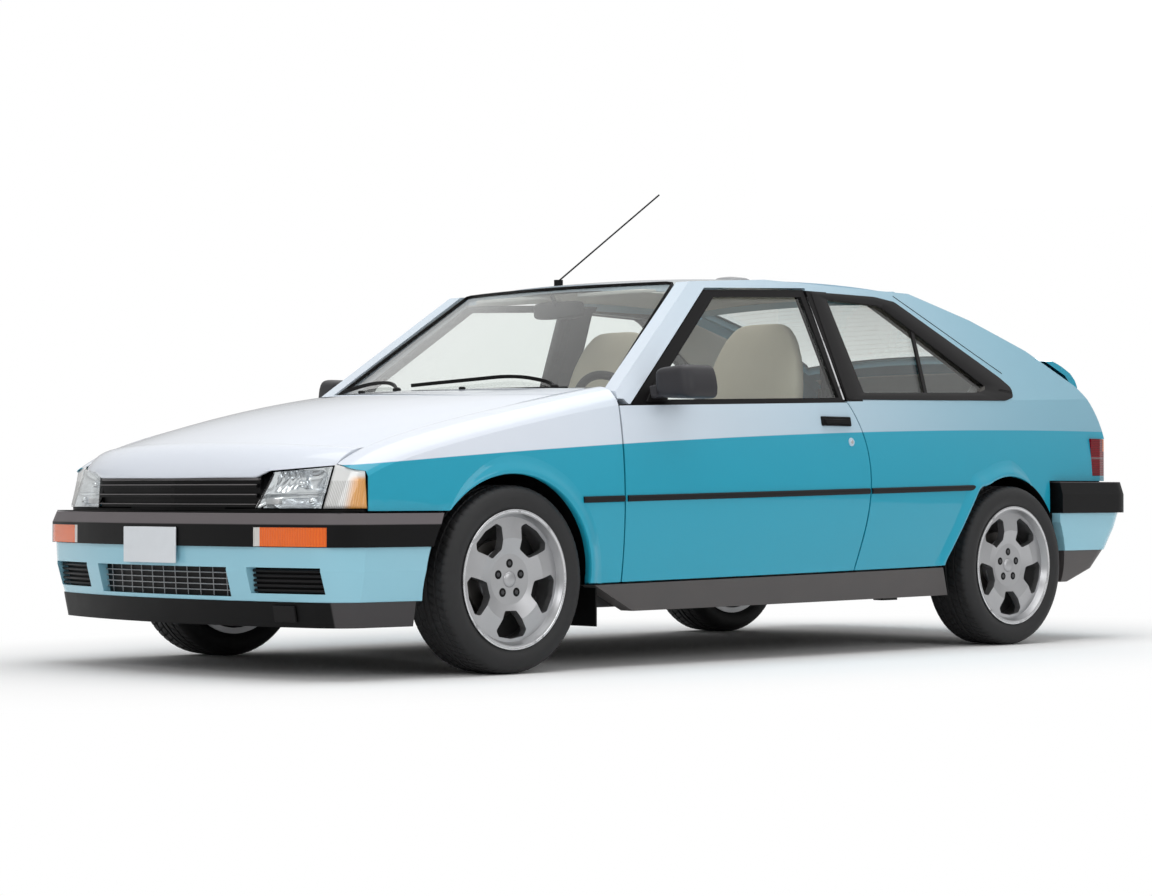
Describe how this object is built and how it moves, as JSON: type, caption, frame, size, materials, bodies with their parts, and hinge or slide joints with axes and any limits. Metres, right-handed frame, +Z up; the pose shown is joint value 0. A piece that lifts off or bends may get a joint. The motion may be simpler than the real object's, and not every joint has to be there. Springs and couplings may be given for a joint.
{
  "type": "three door hatchback car",
  "caption": "Low three-door hatchback car in two-tone paint with alloy wheels, black bumper bands, opening doors, bonnet and tailgate.",
  "frame": {"origin": "on the ground under the middle of the car, midway between the bumper ends", "axes": "+X forward, +Y to the car's left, +Z up"},
  "size_m": [4.1698, 1.91, 1.6635],
  "materials": {
    "body_paint": "gloss",
    "upper_paint": "gloss",
    "bumper_paint": "gloss",
    "black_plastic": "satin",
    "dark_plastic": "satin",
    "underbody": "matte",
    "glass": "clear",
    "lamp_glass": "clear",
    "amber": "gloss",
    "red_lens": "gloss",
    "alloy": "satin",
    "tyre": "matte",
    "steel": "satin",
    "iron": "matte",
    "seat_cloth": "matte",
    "cabin_plastic": "matte"
  },
  "bodies": {
    "car_body": {"floor_pan": "underbody", "scuttle": "underbody", "front_wheel_housings": "black_plastic", "rear_wheel_housings": "black_plastic", "engine_block": "iron", "radiator_panel": "underbody", "wing_left": "body_paint", "wing_right": "body_paint", "bodyside_left": "body_paint", "bodyside_right": "body_paint", "windscreen": "glass", "roof_panel": "upper_paint", "quarter_glasses": "glass", "front_bumper_band": "black_plastic", "front_bumper_skin": "bumper_paint", "front_lip": "black_plastic", "bumper_lamps": "amber", "front_lamps": "lamp_glass", "grilles": "black_plastic", "tail_lamps": "red_lens", "rear_bumper_band": "black_plastic", "rear_bumper_skin": "bumper_paint", "rear_valance": "dark_plastic", "sill_skirts": "dark_plastic", "mud_flaps": "black_plastic", "front_seats": "seat_cloth", "rear_seat": "seat_cloth", "dashboard": "cabin_plastic", "wipers": "black_plastic", "antenna": "black_plastic", "exhaust": "steel", "fuel_tank": "black_plastic", "rear_axle": "iron", "front_suspension": "iron"},
    "bonnet": {"bonnet": "upper_paint"},
    "tailgate": {"tailgate": "body_paint", "tailgate_glass": "glass"},
    "steering_wheel": {"steering_wheel": "black_plastic"},
    "knuckle_left": {"knuckle_left": "iron"},
    "knuckle_right": {"knuckle_right": "iron"},
    "door_left": {"door_left": "body_paint", "door_glass_left": "glass", "door_mirror_left": "dark_plastic"},
    "wheel_front_left": {"tyre_front_left": "tyre", "rim_front_left": "alloy"},
    "wheel_rear_left": {"tyre_rear_left": "tyre", "rim_rear_left": "alloy"},
    "door_right": {"door_right": "body_paint", "door_glass_right": "glass", "door_mirror_right": "dark_plastic"},
    "wheel_front_right": {"tyre_front_right": "tyre", "rim_front_right": "alloy"},
    "wheel_rear_right": {"tyre_rear_right": "tyre", "rim_rear_right": "alloy"}
  },
  "joints": [
    {"name": "steer_left", "type": "hinge", "parent": "car_body", "child": "knuckle_left", "pos_m": [1.277, 0.68, 0.296], "axis": [0, 0, 1], "range_deg": [-34, 34]},
    {"name": "steer_right", "type": "hinge", "parent": "car_body", "child": "knuckle_right", "pos_m": [1.277, -0.68, 0.296], "axis": [0, 0, 1], "range_deg": [-34, 34]},
    {"name": "steering_wheel_turn", "type": "hinge", "parent": "car_body", "child": "steering_wheel", "pos_m": [0.4, 0.37, 0.806], "axis": [-0.9063, 0, 0.4226], "range_deg": [-510, 510]},
    {"name": "wheel_front_left_spin", "type": "hinge", "parent": "knuckle_left", "child": "wheel_front_left", "pos_m": [1.277, 0.713, 0.296], "axis": [0, 1, 0], "continuous": true},
    {"name": "wheel_front_right_spin", "type": "hinge", "parent": "knuckle_right", "child": "wheel_front_right", "pos_m": [1.277, -0.713, 0.296], "axis": [0, 1, 0], "continuous": true},
    {"name": "wheel_rear_left_spin", "type": "hinge", "parent": "car_body", "child": "wheel_rear_left", "pos_m": [-1.259, 0.713, 0.296], "axis": [0, 1, 0], "continuous": true},
    {"name": "wheel_rear_right_spin", "type": "hinge", "parent": "car_body", "child": "wheel_rear_right", "pos_m": [-1.259, -0.713, 0.296], "axis": [0, 1, 0], "continuous": true},
    {"name": "door_left_swing", "type": "hinge", "parent": "car_body", "child": "door_left", "pos_m": [0.75, 0.787, 0.55], "axis": [0, 0, -1], "range_deg": [0, 65]},
    {"name": "door_right_swing", "type": "hinge", "parent": "car_body", "child": "door_right", "pos_m": [0.75, -0.787, 0.55], "axis": [0, 0, 1], "range_deg": [0, 65]},
    {"name": "bonnet_lift", "type": "hinge", "parent": "car_body", "child": "bonnet", "pos_m": [0.842, 0, 0.893], "axis": [0, -1, 0], "range_deg": [0, 55]},
    {"name": "tailgate_lift", "type": "hinge", "parent": "car_body", "child": "tailgate", "pos_m": [-0.902, 0, 1.33], "axis": [0, 1, 0], "range_deg": [0, 70]}
  ],
  "couplings": [
    {"joint": "steer_right", "follows": "steer_left", "ratio": 1},
    {"joint": "steering_wheel_turn", "follows": "steer_left", "ratio": 15}
  ]
}
